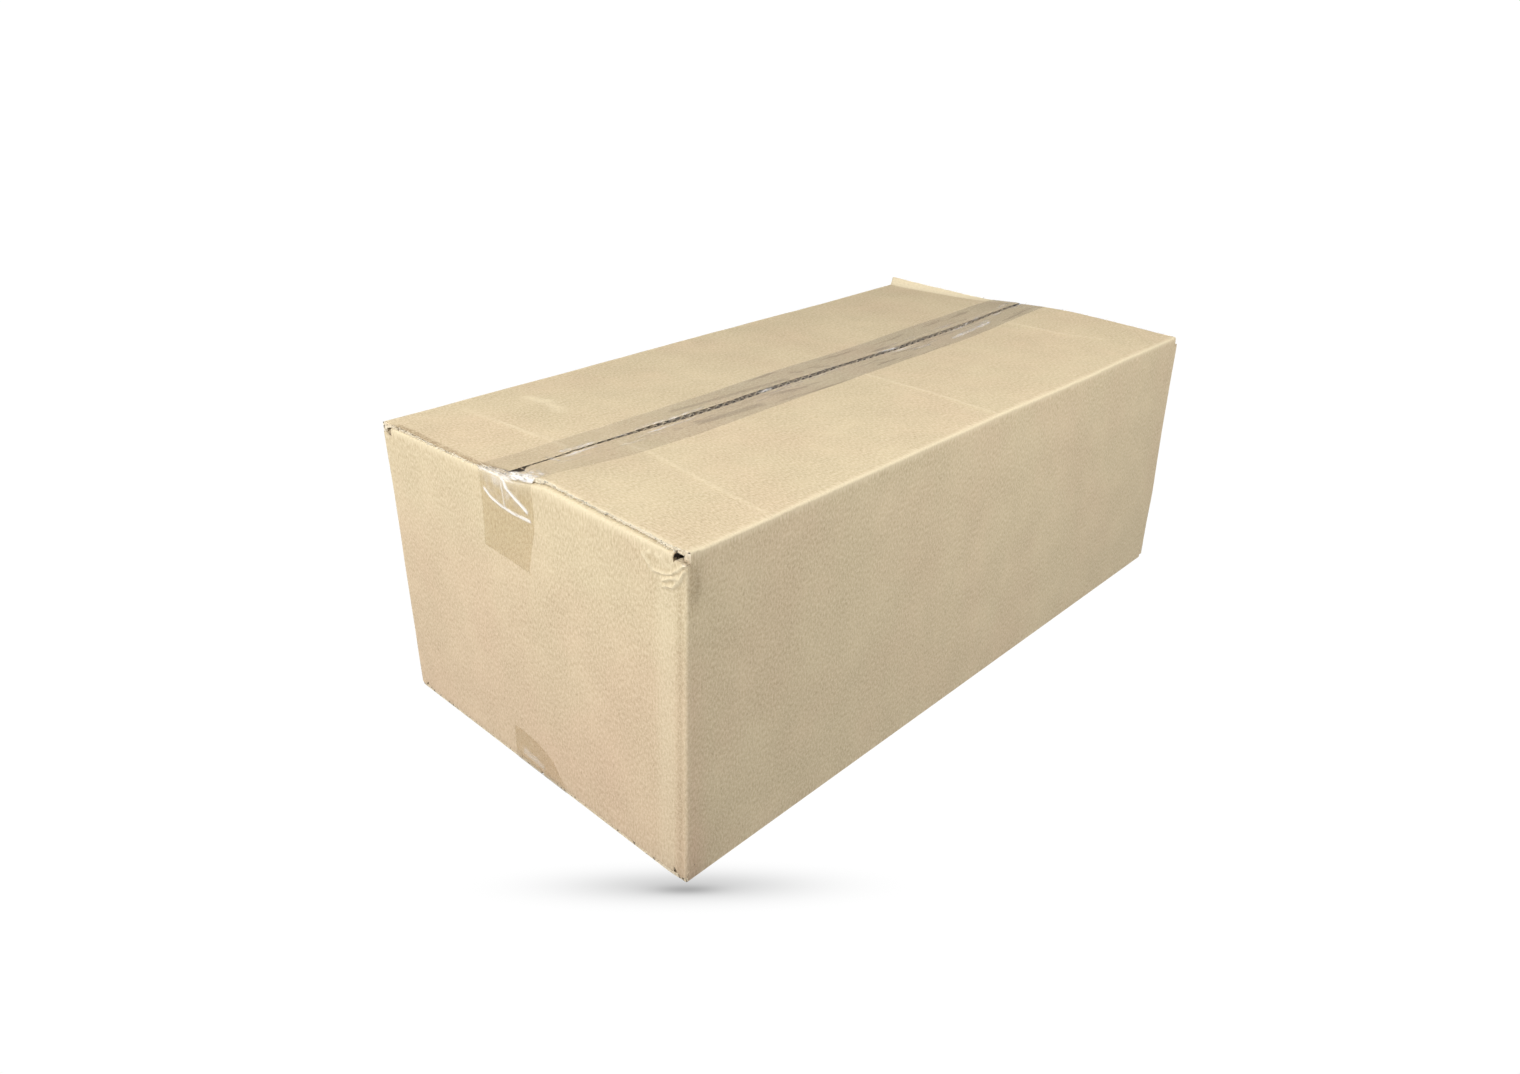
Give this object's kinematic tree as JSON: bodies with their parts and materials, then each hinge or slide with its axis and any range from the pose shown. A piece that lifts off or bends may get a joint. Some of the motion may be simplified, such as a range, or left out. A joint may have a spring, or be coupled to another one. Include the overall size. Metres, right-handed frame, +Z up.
{
  "type": "closed corrugated cardboard box",
  "caption": "Rectangular corrugated board shipping box, its flaps folded shut and held along the top and bottom seams by clear packing tape.",
  "frame": {"origin": "on the floor, under the centre of the box", "axes": "+X along the box from its front end to its rear end, +Y across it to its left side, +Z up"},
  "size_m": [0.5302, 0.26, 0.1902],
  "materials": {
    "kraft_board": "matte brown kraft liner, slightly mottled",
    "clear_tape": "thin clear film, glossy and slightly wrinkled"
  },
  "bodies": {
    "root": {"carton": "kraft_board", "top_tape": "clear_tape", "bottom_tape": "clear_tape"}
  },
  "joints": []
}
